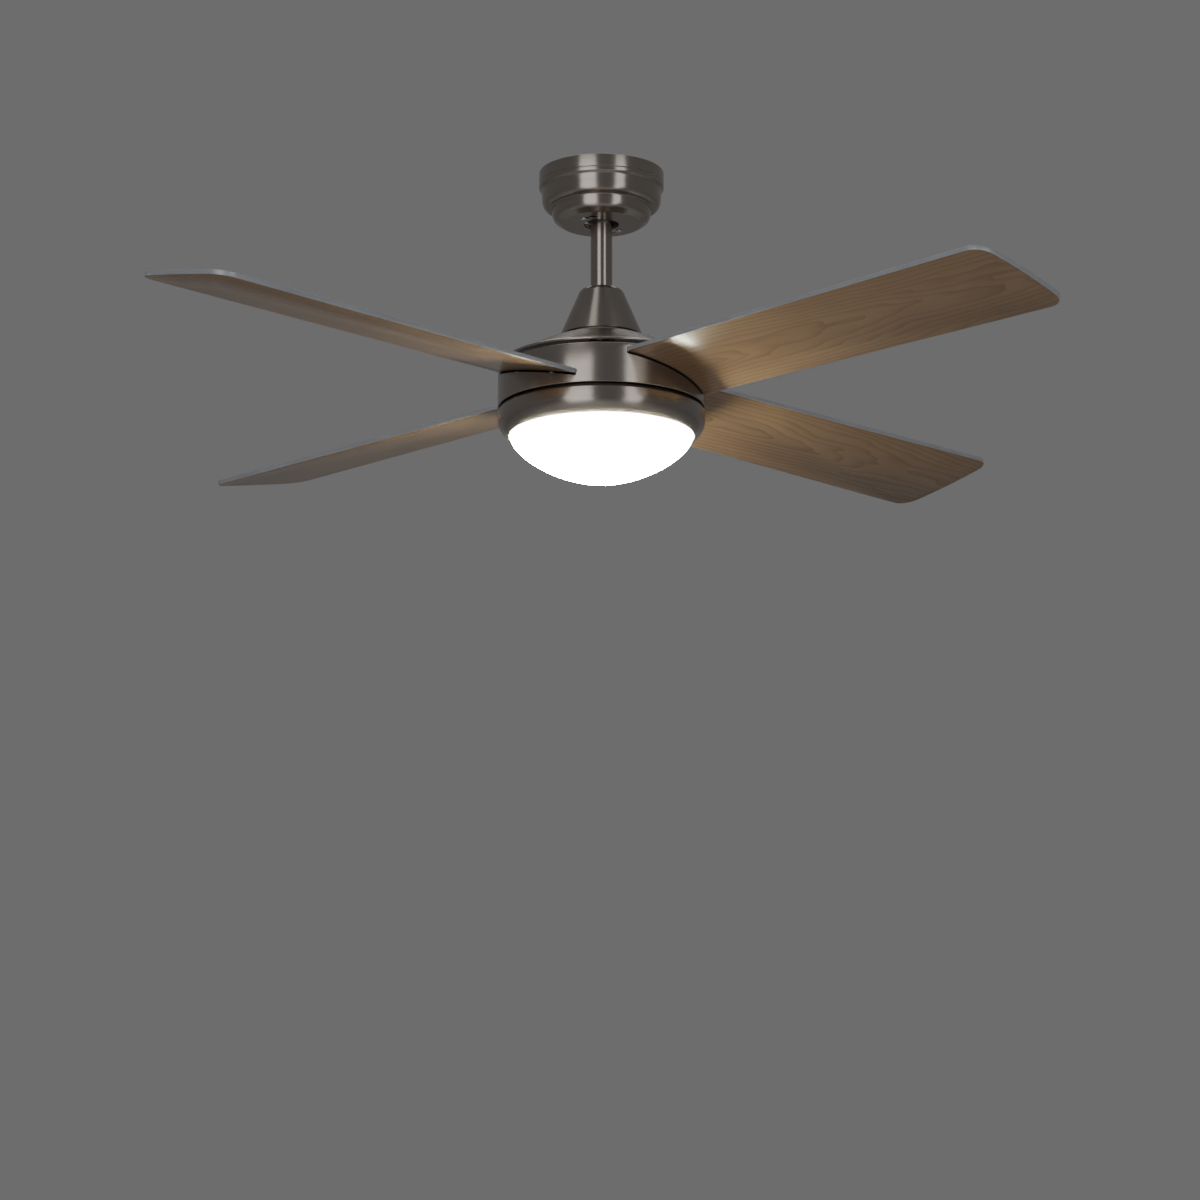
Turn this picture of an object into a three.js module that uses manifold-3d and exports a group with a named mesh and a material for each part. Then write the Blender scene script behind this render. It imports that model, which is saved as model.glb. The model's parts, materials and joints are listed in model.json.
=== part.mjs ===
// Four-blade ceiling fan with a light bowl, hung from a ball joint by a short downrod.
// Millimetres, +Z up. The fan's axis is the Z axis and the ceiling is the plane z = 0.

import * as THREE from 'three';
import { mergeVertices } from 'three/addons/utils/BufferGeometryUtils.js';
import Module from 'manifold-3d';

const wasm = await Module();
wasm.setup();

const degrees = Math.PI / 180;

// ---------------------------------------------------------------- driving dimensions

const GAP = 0.3; // clearance between pieces that touch
const RING_SIDES = 32; // facets round a large turned piece
const CORE_SIDES = 20; // facets round a turned piece inside the casings
const SMALL_SIDES = 8; // facets round a screw or a pin

// Ceiling end
const CANOPY_RADIUS = 77;
const CANOPY_BOTTOM = -65.8;
const CANOPY_WALL = 1.5;
const CANOPY_HOLE_RADIUS = 21.5;
const BRACKET_ANGLE = 47 * degrees; // direction of the bracket's strap, from +X
const BRACKET_HALF_LENGTH = 40;
const BRACKET_HALF_WIDTH = 20;
const BRACKET_BOTTOM = -58.5;
const STRAP_THICKNESS = 2.5;
const CANOPY_SCREW_CIRCLE = 31.5; // radius at which the two canopy screws stand
const CANOPY_TWIST = 24 * degrees; // turn that frees the canopy from its screws
const BALL_Z = -44.7; // centre of the hanger ball, about which the fan swings
const BALL_RADIUS = 24;
const CUP_RADIUS = BALL_RADIUS + 0.8;

// Downrod and coupling
const ROD_RADIUS = 13.35;
const ROD_WALL = 2.3;
const ROD_TOP = -25;
const ROD_BOTTOM = -195;
const HANGER_PIN_Z = -32;
const CLEVIS_PIN_Z = -181;
const PIN_RADIUS = 3;
const COUPLING_RADIUS = 20;
const COUPLING_TOP = -166;
const COUPLING_BOTTOM = -212;
const COVER_TOP = -149.5;
const COVER_BOTTOM = -210;
const COVER_BOTTOM_RADIUS = 51.5;
const SHELL_WALL = 1.5;

// Motor
const SHAFT_RADIUS = 9.5;
const SHAFT_BORE = 5.5;
const MOTOR_RADIUS = 62;
const MOTOR_SPLIT = -262;
const STATOR_RADIUS = 50;
const STATOR_TOP = -254;
const STATOR_BOTTOM = -270;
const STATOR_SLOTS = 12;
const BEARING_RADIUS = 19.7;
const BEARING_WIDTH = 9;

// Rotor drum and blades
const DRUM_RADIUS = 126.5;
const DRUM_TOP = -253;
const DRUM_BOTTOM = -302;
const BLADE_COUNT = 4;
const FIRST_BLADE_ANGLE = -45 * degrees;
const SWEEP_RADIUS = 660;
const BLADE_PITCH = 11.8 * degrees;
const BLADE_UNDERSIDE = -277.5; // height of the underside on the blade's centreline
const BLADE_THICKNESS = 5.5;
const BLADE_ROOT_RADIUS = DRUM_RADIUS + 0.8;
const BLADE_ROOT_HALF_WIDTH = 68.3;
const BLADE_TIP_HALF_WIDTH = 76.8;
const BLADE_CORNER = 22;
const TAB_START = 92; // the blade's tab reaches in to this distance from the axis
const TAB_HALF_WIDTH = 65.8;
const SLOT_BELOW_BLADE = 2.4;
const BLADE_SCREW_X = 113;
const BLADE_SCREW_Y = 30;
const BLADE_HOLE_RADIUS = 2.5;
const HOLDER_SCREW_X = 72;
const HOLDER_SCREW_Y = 13;
const FLANGE_TOP = -272; // flange of the lower motor shell that carries the blade holders
const FLANGE_RADIUS = 82;

// Light kit
const PAN_RADIUS = 124.6;
const PAN_TOP = -303.6;
const PAN_SKIRT_BOTTOM = -316;
const RING_TOP = -307;
const RING_BOTTOM = -336.5;
const RING_BOTTOM_RADIUS = 112.6;
const BAYONET_Z = -326; // top of the ring's tabs, on which the diffuser's lugs sit
const BAYONET_COUNT = 3;
const BOARD_RADIUS = 100;
const BOARD_TOP = -326.9;
const PILLAR_CIRCLE = 80;
const DIFFUSER_RADIUS = 110.9;
const DIFFUSER_TOP = -322;
const DIFFUSER_BOTTOM = -393.3;
const DIFFUSER_WALL = 2.5;
const DIFFUSER_BELLY = 50.6; // reach of the bowl's curve outwards from the bottom
const DIFFUSER_SHOULDER = -356.8; // reach of the bowl's curve down from the ring

// ---------------------------------------------------------------- materials

function finish(color, roughness, metalness) {
  return new THREE.MeshStandardMaterial({ color, roughness, metalness });
}

const brushedNickel = finish(0x8d857c, 0.38, 1);
const zincSteel = finish(0xb4b6b8, 0.45, 1);
const castAluminium = finish(0xa2a5a8, 0.55, 1);
const electricalSteel = finish(0x5a5c60, 0.6, 1);
const copperWire = finish(0xb06a3a, 0.4, 1);
const blackPlastic = finish(0x1c1c1e, 0.6, 0);
const whitePlastic = finish(0xe6e6e2, 0.5, 0);
const circuitBoard = finish(0xf2f2ee, 0.5, 0);
const maple = finish(0xb89468, 0.45, 0);
const opalGlass = finish(0xffffff, 0.25, 0);

// ---------------------------------------------------------------- solids, cuts and joins

// Weld a closed geometry's shared vertices and drop the triangles that collapse at the axis.
function toSolid(geometry) {
  const bare = geometry.clone();
  bare.deleteAttribute('normal');
  bare.deleteAttribute('uv');
  const welded = mergeVertices(bare, 1e-4);
  const index = welded.index.array;
  const triangles = [];
  for (let i = 0; i < index.length; i += 3) {
    const [a, b, c] = [index[i], index[i + 1], index[i + 2]];
    if (a !== b && b !== c && c !== a) triangles.push(a, b, c);
  }
  return new wasm.Manifold(new wasm.Mesh({
    numProp: 3,
    vertProperties: Float32Array.from(welded.attributes.position.array),
    triVerts: Uint32Array.from(triangles),
  }));
}

function fromSolid(solid) {
  const mesh = solid.getMesh();
  const geometry = new THREE.BufferGeometry();
  geometry.setAttribute('position', new THREE.BufferAttribute(mesh.vertProperties, 3));
  geometry.setIndex(new THREE.BufferAttribute(mesh.triVerts, 1));
  geometry.computeVertexNormals();
  return geometry;
}

function join(...geometries) {
  return fromSolid(geometries.map(toSolid).reduce((whole, piece) => whole.add(piece)));
}

function cut(geometry, ...tools) {
  return fromSolid(tools.map(toSolid).reduce((left, tool) => left.subtract(tool), toSolid(geometry)));
}

// ---------------------------------------------------------------- shape helpers

// Turn a closed [radius, z] outline into a ring, or an outline ending on the axis into a solid.
function turned(outline, sides = RING_SIDES) {
  const points = outline.map((p) => (p.isVector2 ? p.clone() : new THREE.Vector2(...p)));
  if (THREE.ShapeUtils.area(points) < 0) points.reverse();
  const touchesAxis = points.some((p) => p.x === 0);
  if (!touchesAxis) points.push(points[0].clone());
  while (touchesAxis && !(points[0].x === 0 && points.at(-1).x === 0)) points.push(points.shift());
  return new THREE.LatheGeometry(points, sides).rotateX(Math.PI / 2);
}

// Outline of a sheet of even thickness whose outer face follows the given line, inner side on the left.
function sheetOutline(line, wall) {
  const inner = line.map((point, i) => {
    const before = line[Math.max(i - 1, 0)];
    const after = line[Math.min(i + 1, line.length - 1)];
    const along = (from, to) => to.clone().sub(from).normalize();
    const first = along(i > 0 ? before : point, i > 0 ? point : after);
    const second = along(i < line.length - 1 ? point : before, i < line.length - 1 ? after : point);
    const middle = first.clone().add(second).normalize();
    const reach = wall / Math.max(middle.dot(second), 0.5);
    return point.clone().add(new THREE.Vector2(-middle.y, middle.x).multiplyScalar(reach));
  });
  return [...line, ...inner.reverse()];
}

function tube(outer, inner, bottom, top, sides = RING_SIDES) {
  return turned([[inner, bottom], [outer, bottom], [outer, top], [inner, top]], sides);
}

function rod(radius, bottom, top, sides = SMALL_SIDES) {
  return turned([[0, bottom], [radius, bottom], [radius, top], [0, top]], sides);
}

function block(lengthX, lengthY, lengthZ, x, y, z) {
  return new THREE.BoxGeometry(lengthX, lengthY, lengthZ).translate(x, y, z);
}

function roundedRectangle(width, height, radius) {
  const [x, y] = [width / 2, height / 2];
  const shape = new THREE.Shape();
  shape.absarc(x - radius, y - radius, radius, 0, Math.PI / 2);
  shape.absarc(radius - x, y - radius, radius, Math.PI / 2, Math.PI);
  shape.absarc(radius - x, radius - y, radius, Math.PI, 1.5 * Math.PI);
  shape.absarc(x - radius, radius - y, radius, 1.5 * Math.PI, 2 * Math.PI);
  shape.closePath();
  return shape;
}

// Extrude a shape in XY from one height to another.
function slab(shape, bottom, top, curveSegments = 4) {
  const settings = { depth: top - bottom, bevelEnabled: false, curveSegments };
  return new THREE.ExtrudeGeometry(shape, settings).translate(0, 0, bottom);
}

// Screw with its head above z = 0 and its shank below.
function screw(shankRadius, shankLength, headRadius, headHeight) {
  return turned([
    [0, -shankLength],
    [shankRadius, -shankLength],
    [shankRadius, 0],
    [headRadius, 0],
    [headRadius * 0.75, headHeight],
    [0, headHeight],
  ], SMALL_SIDES);
}

function mesh(name, geometry, material) {
  const piece = new THREE.Mesh(geometry, material);
  piece.name = name;
  return piece;
}

// ---------------------------------------------------------------- ceiling end

// Steel strap bent into a box, with a spherical cup in its bottom that is open on one side.
function hangerBracket() {
  const height = -BRACKET_BOTTOM;
  const frame = roundedRectangle(2 * BRACKET_HALF_LENGTH, height, 4);
  const inside = roundedRectangle(2 * (BRACKET_HALF_LENGTH - STRAP_THICKNESS), height - 2 * STRAP_THICKNESS, 1.5);
  frame.holes.push(inside);
  const strap = slab(frame, -BRACKET_HALF_WIDTH, BRACKET_HALF_WIDTH, 3)
    .rotateX(Math.PI / 2)
    .translate(0, 0, -height / 2);

  const cupWall = 2.5;
  const cupSphere = CUP_RADIUS + cupWall;
  const cupTop = -2.3;
  const cupBottom = -17.5;
  const side = new THREE.Path();
  side.absarc(0, 0, cupSphere, Math.asin(cupBottom / cupSphere), Math.asin(cupTop / cupSphere));
  const cup = turned([[0, cupBottom], ...side.getPoints(2), [0, cupTop]], CORE_SIDES).translate(0, 0, BALL_Z);
  const hollow = new THREE.SphereGeometry(CUP_RADIUS, CORE_SIDES, 18).translate(0, 0, BALL_Z);
  const mouthWidth = 2 * ROD_RADIUS + 2;
  const mouth = block(mouthWidth, 40, 30, 0, 20, BRACKET_BOTTOM);

  const screwSlot = slab(roundedRectangle(14, 6, 2.99), -5, 5);
  const cuts = [-1, 1].flatMap((end) => [
    screwSlot.clone().translate(end * 26, 0, 0),
    rod(2.3, BRACKET_BOTTOM - 2, BRACKET_BOTTOM + 6).translate(end * CANOPY_SCREW_CIRCLE, 0, 0),
  ]);
  const wireHole = rod(5, -5, 5).translate(0, 12.5, 0);
  return mesh('hanger_bracket', cut(join(strap, cup), hollow, mouth, wireHole, ...cuts), zincSteel);
}

function receiverBox() {
  return mesh('receiver_box', slab(roundedRectangle(68, 30, 3), -18, -3), blackPlastic);
}

function terminalBlock() {
  const body = block(14, 26, 14, 0, 0, 0);
  const wireHoles = [-8, 0, 8].map((y) => rod(1.8, -4, 8, 8).translate(2, y, 0));
  const piece = mesh('terminal_block', cut(body, ...wireHoles), whitePlastic);
  piece.position.set(BRACKET_HALF_LENGTH + GAP + 7, 0, -17);
  return piece;
}

function canopyScrew(number, end) {
  const piece = mesh(`canopy_screw_${number}`, screw(1.95, 13, 3.7, 2.6), zincSteel);
  piece.position.set(end * CANOPY_SCREW_CIRCLE, 0, CANOPY_BOTTOM - GAP);
  piece.rotation.x = Math.PI;
  return piece;
}

// Stepped cup with a beaded rim, and a rod hole and two keyhole slots for its screws in the bottom.
function canopy() {
  const line = new THREE.Path();
  line.moveTo(CANOPY_HOLE_RADIUS, CANOPY_BOTTOM);
  line.lineTo(50, CANOPY_BOTTOM);
  line.lineTo(55.3, -62);
  line.bezierCurveTo(59.5, -60.5, 61.2, -55, 61.5, -47);
  line.lineTo(62.5, -45.2);
  line.bezierCurveTo(70.5, -46.6, 73.3, -42, 73.5, -31);
  line.lineTo(73.7, -25);
  line.bezierCurveTo(74, -22, CANOPY_RADIUS, -21.5, CANOPY_RADIUS, -19);
  line.lineTo(CANOPY_RADIUS, -16.1);
  line.lineTo(CANOPY_RADIUS - 0.5, -15.3);
  line.lineTo(CANOPY_RADIUS, -14.5);
  line.lineTo(CANOPY_RADIUS, -GAP);
  const cup = turned(sheetOutline(line.getPoints(2), CANOPY_WALL));

  const start = BRACKET_ANGLE;
  const end = BRACKET_ANGLE + CANOPY_TWIST;
  const halfSlot = 2.5;
  const arc = new THREE.Shape();
  arc.absarc(0, 0, CANOPY_SCREW_CIRCLE + halfSlot, start, end);
  arc.absarc(0, 0, CANOPY_SCREW_CIRCLE - halfSlot, end, start, true);
  arc.closePath();
  const at = (geometry, angle) => geometry.translate(CANOPY_SCREW_CIRCLE, 0, 0).rotateZ(angle);
  const low = CANOPY_BOTTOM - 3;
  const high = CANOPY_BOTTOM + 3;
  const keyhole = join(slab(arc, low, high, 5), at(rod(halfSlot, low, high), start), at(rod(4.8, low, high), end));
  return mesh('canopy', cut(cup, keyhole, keyhole.clone().rotateZ(Math.PI)), brushedNickel);
}

// ---------------------------------------------------------------- downrod and coupling

function hangerBall() {
  const top = 18;
  const bottom = -17;
  const side = new THREE.Path();
  side.absarc(0, 0, BALL_RADIUS, Math.asin(bottom / BALL_RADIUS), Math.asin(top / BALL_RADIUS));
  const bore = ROD_RADIUS + GAP;
  const ball = turned([[bore, bottom], ...side.getPoints(4), [bore, top]], CORE_SIDES);
  const pinGroove = block(60, 2 * PIN_RADIUS + 0.8, 20, 0, 0, HANGER_PIN_Z - BALL_Z - PIN_RADIUS - 0.4 + 10);
  const screwHole = rod(2.6, 0, 30).rotateX(Math.PI / 2).translate(0, 0, -2);
  const piece = mesh('hanger_ball', cut(ball, pinGroove, screwHole), blackPlastic);
  piece.position.z = BALL_Z;
  return piece;
}

function hangerPin() {
  const piece = mesh('hanger_pin', rod(PIN_RADIUS, -19.2, 19.2).rotateY(Math.PI / 2), zincSteel);
  piece.position.z = HANGER_PIN_Z;
  return piece;
}

function ballSetScrew() {
  const piece = mesh('ball_set_screw', rod(2.2, 14.1, 21.5).rotateX(Math.PI / 2), zincSteel);
  piece.position.z = BALL_Z - 2;
  return piece;
}

function crossHole(radius, length, z) {
  return rod(radius, -length / 2, length / 2).rotateY(Math.PI / 2).translate(0, 0, z);
}

function downrod() {
  const pipe = tube(ROD_RADIUS, ROD_RADIUS - ROD_WALL, ROD_BOTTOM, ROD_TOP, CORE_SIDES);
  const upperHole = crossHole(PIN_RADIUS + 0.4, 60, HANGER_PIN_Z).rotateZ(BRACKET_ANGLE);
  const lowerHole = crossHole(PIN_RADIUS + 0.4, 60, CLEVIS_PIN_Z);
  return mesh('downrod', cut(pipe, upperHole, lowerHole), brushedNickel);
}

// Cast collar round the rod's lower end, screwed on the motor shaft, with a flange for the cover.
function rodCoupling() {
  const rodBore = ROD_RADIUS + GAP;
  const shaftBore = SHAFT_RADIUS + GAP;
  const floor = ROD_BOTTOM - 1;
  const flangeTop = -208.5;
  const flangeRadius = 47.5;
  const collar = turned([
    [shaftBore, COUPLING_BOTTOM],
    [flangeRadius, COUPLING_BOTTOM],
    [flangeRadius, flangeTop],
    [24, flangeTop],
    [COUPLING_RADIUS, -203],
    [COUPLING_RADIUS, COUPLING_TOP],
    [rodBore, COUPLING_TOP],
    [rodBore, floor],
    [shaftBore, floor],
  ], CORE_SIDES);
  const pinHole = crossHole(PIN_RADIUS + 0.4, 60, CLEVIS_PIN_Z);
  const screwHole = crossHole(2.7, 60, -173).rotateZ(Math.PI / 2);
  return mesh('rod_coupling', cut(collar, pinHole, screwHole), castAluminium);
}

function couplingScrew(number, turn) {
  const length = COUPLING_RADIUS - ROD_RADIUS;
  const piece = mesh(`coupling_screw_${number}`, screw(2.3, length - GAP, 4.4, 3.2), zincSteel);
  piece.position.set(0, turn * (COUPLING_RADIUS + GAP), -173);
  piece.rotation.x = -turn * Math.PI / 2;
  return piece;
}

function clevisPin() {
  const shank = screw(PIN_RADIUS, 47, 5, 2).rotateY(-Math.PI / 2);
  const cotterHole = rod(1.5, -10, 10, 8).translate(43.6, 0, 0);
  const piece = mesh('clevis_pin', cut(shank, cotterHole), zincSteel);
  piece.position.set(-COUPLING_RADIUS - GAP, 0, CLEVIS_PIN_Z);
  return piece;
}

// Spring-wire clip: one leg through the clevis pin, the other bent back beside it.
function cotterPin() {
  const wire = new THREE.Shape();
  wire.absarc(0, 0, 0.9, 0, 2 * Math.PI);
  const route = new THREE.CatmullRomCurve3([
    new THREE.Vector3(0, 0, -7),
    new THREE.Vector3(0, 0, 6),
    new THREE.Vector3(0, 3, 9),
    new THREE.Vector3(0, 6, 6),
    new THREE.Vector3(0, 5.4, -4),
  ]);
  const clip = new THREE.ExtrudeGeometry(wire, { steps: 12, curveSegments: 3, extrudePath: route });
  const piece = mesh('cotter_pin', clip, zincSteel);
  piece.position.set(43.6 - COUPLING_RADIUS - GAP, 0, CLEVIS_PIN_Z);
  return piece;
}

// Bell over the coupling, with a rounded shoulder and a straight flare.
function couplingCover() {
  const line = new THREE.Path();
  line.moveTo(COVER_BOTTOM_RADIUS, COVER_BOTTOM);
  line.quadraticCurveTo(43, -190.5, 29, -158);
  line.bezierCurveTo(27.4, -152.8, 24.5, COVER_TOP, 18.5, COVER_TOP);
  line.lineTo(ROD_RADIUS + 0.6, COVER_TOP);
  return mesh('coupling_cover', turned(sheetOutline(line.getPoints(3), SHELL_WALL)), brushedNickel);
}

// Shallow fixed dome over the motor, with a rolled lip at its rim.
function upperHousing() {
  const line = new THREE.Path();
  line.moveTo(123.6, -248.6);
  line.quadraticCurveTo(126, -246.4, 121.6, -244.4);
  line.bezierCurveTo(100, -236, 74, -219.5, 52, -213.4);
  line.lineTo(40, COUPLING_BOTTOM - GAP);
  line.lineTo(SHAFT_RADIUS + 0.5, COUPLING_BOTTOM - GAP);
  return mesh('upper_housing', turned(sheetOutline(line.getPoints(3), SHELL_WALL)), brushedNickel);
}

// ---------------------------------------------------------------- motor

function motorShaft() {
  const shoulderTop = COUPLING_BOTTOM - GAP - SHELL_WALL - GAP;
  const shaft = turned([
    [SHAFT_BORE, -318],
    [SHAFT_RADIUS, -318],
    [SHAFT_RADIUS, shoulderTop - 4],
    [16, shoulderTop - 4],
    [16, shoulderTop],
    [SHAFT_RADIUS, shoulderTop],
    [SHAFT_RADIUS, -199],
    [SHAFT_BORE, -199],
  ], CORE_SIDES);
  return mesh('motor_shaft', shaft, zincSteel);
}

function shaftNut() {
  const hexagon = new THREE.Shape();
  for (let corner = 0; corner < 6; corner += 1) {
    const angle = corner * 60 * degrees;
    hexagon[corner ? 'lineTo' : 'moveTo'](15 * Math.cos(angle), 15 * Math.sin(angle));
  }
  const hole = new THREE.Path();
  hole.absarc(0, 0, SHAFT_RADIUS + GAP, 0, 2 * Math.PI);
  hexagon.closePath();
  hexagon.holes.push(hole);
  return mesh('shaft_nut', slab(hexagon, -313, -306, 12), zincSteel);
}

// Lamination stack with T-shaped poles.
function statorCore() {
  const outline = new THREE.Shape();
  const pitch = 2 * Math.PI / STATOR_SLOTS;
  const yokeRadius = 22;
  const shoeRadius = 45;
  for (let pole = 0; pole < STATOR_SLOTS; pole += 1) {
    const centre = pole * pitch;
    const at = (radius, offset) => [radius * Math.cos(centre + offset), radius * Math.sin(centre + offset)];
    const stem = 4;
    const corners = [
      at(yokeRadius, -stem / yokeRadius),
      at(shoeRadius, -stem / shoeRadius),
      at(shoeRadius, -pitch * 0.42),
      at(STATOR_RADIUS, -pitch * 0.44),
    ];
    corners.forEach(([x, y], i) => outline[pole || i ? 'lineTo' : 'moveTo'](x, y));
    outline.absarc(0, 0, STATOR_RADIUS, centre - pitch * 0.44, centre + pitch * 0.44);
    outline.lineTo(...at(shoeRadius, pitch * 0.42));
    outline.lineTo(...at(shoeRadius, stem / shoeRadius));
    outline.lineTo(...at(yokeRadius, stem / yokeRadius));
  }
  outline.closePath();
  const stack = slab(outline, STATOR_BOTTOM, STATOR_TOP, 1);
  const hole = rod(SHAFT_RADIUS + GAP, STATOR_BOTTOM - 1, STATOR_TOP + 1, CORE_SIDES);
  return mesh('stator_core', cut(stack, hole), electricalSteel);
}

function winding(name, middle) {
  const coil = new THREE.Path();
  coil.absellipse(33.5, middle, 11, 6, 0, 2 * Math.PI);
  return mesh(name, turned(coil.getPoints(3).slice(0, -1), CORE_SIDES), copperWire);
}

function bearing(name, top) {
  return mesh(name, tube(BEARING_RADIUS, SHAFT_RADIUS + GAP, top - BEARING_WIDTH, top, CORE_SIDES), zincSteel);
}

function rotorRing() {
  return mesh('rotor_ring', tube(58.2, STATOR_RADIUS + 0.6, -274, -250, CORE_SIDES), electricalSteel);
}

const SHELL_BORE = BEARING_RADIUS + GAP;
const BOSS_RADIUS = 25;
const SHELL_INNER = MOTOR_RADIUS - 3.5;

// Upper half of the motor case, with a bearing boss on top and a flange that carries the drum.
function motorShellUpper() {
  const shell = turned([
    [SHELL_BORE, -235.5],
    [SHELL_INNER, -235.5],
    [SHELL_INNER, MOTOR_SPLIT],
    [MOTOR_RADIUS, MOTOR_SPLIT],
    [MOTOR_RADIUS, -258.2],
    [78, -258.2],
    [78, DRUM_TOP - SHELL_WALL - GAP],
    [MOTOR_RADIUS, DRUM_TOP - SHELL_WALL - GAP],
    [MOTOR_RADIUS, -238],
    [58, -232],
    [BOSS_RADIUS, -232],
    [BOSS_RADIUS, -222.5],
    [SHELL_BORE, -222.5],
  ], CORE_SIDES);
  return mesh('motor_shell_upper', shell, castAluminium);
}

// Lower half of the motor case, with the flange that the blade holders are screwed to.
function motorShellLower() {
  const shell = turned([
    [SHELL_BORE, -300.5],
    [BOSS_RADIUS, -300.5],
    [BOSS_RADIUS, -292.5],
    [58, -292.5],
    [MOTOR_RADIUS, -287],
    [MOTOR_RADIUS, FLANGE_TOP - 4],
    [FLANGE_RADIUS, FLANGE_TOP - 4],
    [FLANGE_RADIUS, FLANGE_TOP],
    [MOTOR_RADIUS, FLANGE_TOP],
    [MOTOR_RADIUS, MOTOR_SPLIT - GAP],
    [SHELL_INNER, MOTOR_SPLIT - GAP],
    [SHELL_INNER, -289],
    [SHELL_BORE, -289],
  ], CORE_SIDES);
  const holes = bladeAngles().flatMap((angle) => [-1, 1].map((side) =>
    rod(2.6, FLANGE_TOP - 8, FLANGE_TOP + 4, 8)
      .translate(HOLDER_SCREW_X, side * HOLDER_SCREW_Y, 0)
      .rotateZ(angle)));
  return mesh('motor_shell_lower', cut(shell, ...holes), castAluminium);
}

// ---------------------------------------------------------------- drum and blades

function bladeAngles() {
  return Array.from({ length: BLADE_COUNT }, (_, i) => FIRST_BLADE_ANGLE + i * 2 * Math.PI / BLADE_COUNT);
}

// From a blade's own frame (X outwards, Z off its underside) to the fan's frame.
function bladeFrame(angle) {
  return new THREE.Matrix4()
    .makeRotationZ(angle)
    .multiply(new THREE.Matrix4().makeTranslation(0, 0, BLADE_UNDERSIDE))
    .multiply(new THREE.Matrix4().makeRotationX(-BLADE_PITCH));
}

// Rotating casing with one sloping slot for each blade.
function drum() {
  const inner = DRUM_RADIUS - SHELL_WALL;
  const line = new THREE.Path();
  line.moveTo(DRUM_RADIUS, DRUM_BOTTOM);
  line.lineTo(DRUM_RADIUS, DRUM_TOP - 1.2);
  line.lineTo(DRUM_RADIUS - 1.2, DRUM_TOP);
  line.lineTo(MOTOR_RADIUS + 0.5, DRUM_TOP);
  line.lineTo(MOTOR_RADIUS + 0.5, DRUM_TOP - SHELL_WALL);
  line.lineTo(inner, DRUM_TOP - SHELL_WALL);
  line.lineTo(inner, DRUM_BOTTOM);
  const slotHeight = SLOT_BELOW_BLADE + BLADE_THICKNESS + 0.5;
  const slotHalfWidth = TAB_HALF_WIDTH + 0.7;
  const slot = block(40, 2 * slotHalfWidth, slotHeight, 120, 0, slotHeight / 2 - SLOT_BELOW_BLADE);
  const slots = bladeAngles().map((angle) => slot.clone().applyMatrix4(bladeFrame(angle)));
  return mesh('drum', cut(turned(line.getPoints(1), 40), ...slots), brushedNickel);
}

// Half of the blade's width at a distance from the fan's axis.
function bladeHalfWidth(x) {
  const along = (x - BLADE_ROOT_RADIUS) / (SWEEP_RADIUS - BLADE_ROOT_RADIUS);
  return BLADE_ROOT_HALF_WIDTH + along * (BLADE_TIP_HALF_WIDTH - BLADE_ROOT_HALF_WIDTH);
}

// Board that widens towards a rounded tip. Its root follows the drum, with a tab that enters the slot.
function bladeOutline() {
  const plan = Math.cos(BLADE_PITCH); // width seen from above per width along the board
  const onDrum = (y) => Math.sqrt(BLADE_ROOT_RADIUS ** 2 - (y * plan) ** 2);
  const chamfer = 3;
  const rootX = onDrum(BLADE_ROOT_HALF_WIDTH);
  const cornerX = Math.sqrt(SWEEP_RADIUS ** 2 - BLADE_TIP_HALF_WIDTH ** 2);
  const tipHalf = bladeHalfWidth(cornerX);
  const tipTurn = Math.asin((tipHalf - BLADE_CORNER) / SWEEP_RADIUS);
  const corner = new THREE.QuadraticBezierCurve(
    new THREE.Vector2(cornerX - BLADE_CORNER, -tipHalf),
    new THREE.Vector2(cornerX, -tipHalf),
    new THREE.Vector2(SWEEP_RADIUS * Math.cos(tipTurn), BLADE_CORNER - tipHalf),
  );
  const half = [
    new THREE.Vector2(TAB_START, -TAB_HALF_WIDTH),
    new THREE.Vector2(onDrum(TAB_HALF_WIDTH), -TAB_HALF_WIDTH),
    new THREE.Vector2(rootX, chamfer - BLADE_ROOT_HALF_WIDTH),
    new THREE.Vector2(rootX + chamfer, -bladeHalfWidth(rootX + chamfer)),
    ...corner.getPoints(5),
    new THREE.Vector2(SWEEP_RADIUS * Math.cos(tipTurn / 2), -SWEEP_RADIUS * Math.sin(tipTurn / 2)),
  ];
  const otherHalf = half.map((p) => new THREE.Vector2(p.x, -p.y)).reverse();
  return new THREE.Shape([...half, new THREE.Vector2(SWEEP_RADIUS, 0), ...otherHalf]);
}

function blade(number) {
  const outline = bladeOutline();
  outline.holes = [-1, 1].map((side) =>
    new THREE.Path().absarc(BLADE_SCREW_X, side * BLADE_SCREW_Y, BLADE_HOLE_RADIUS, 0, 2 * Math.PI, true));
  return mesh(`blade_${number}`, slab(outline, 0, BLADE_THICKNESS), maple);
}

const HOLDER_THICKNESS = 2.5;

// Steel holder: a level pad on the motor flange and a pitched plate over the blade's tab.
function bladeHolder(number) {
  const bottom = BLADE_THICKNESS + GAP;
  const top = bottom + HOLDER_THICKNESS;
  const plate = slab(roundedRectangle(35, 78, 6), bottom, top, 1).translate(100.5, 0, 0);
  const level = new THREE.Matrix4().makeRotationX(BLADE_PITCH);
  const padLength = TAB_START - GAP - 64;
  const pad = slab(roundedRectangle(padLength, 40, 4), bottom, top, 1)
    .translate(64 + padLength / 2, 0, 0)
    .applyMatrix4(level);
  const holes = [-1, 1].flatMap((side) => [
    rod(BLADE_HOLE_RADIUS, -20, 30).translate(BLADE_SCREW_X, side * BLADE_SCREW_Y, 0),
    rod(2.6, -20, 30).translate(HOLDER_SCREW_X, side * HOLDER_SCREW_Y, 0).applyMatrix4(level),
  ]);
  return mesh(`blade_holder_${number}`, cut(join(plate, pad), ...holes), zincSteel);
}

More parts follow.
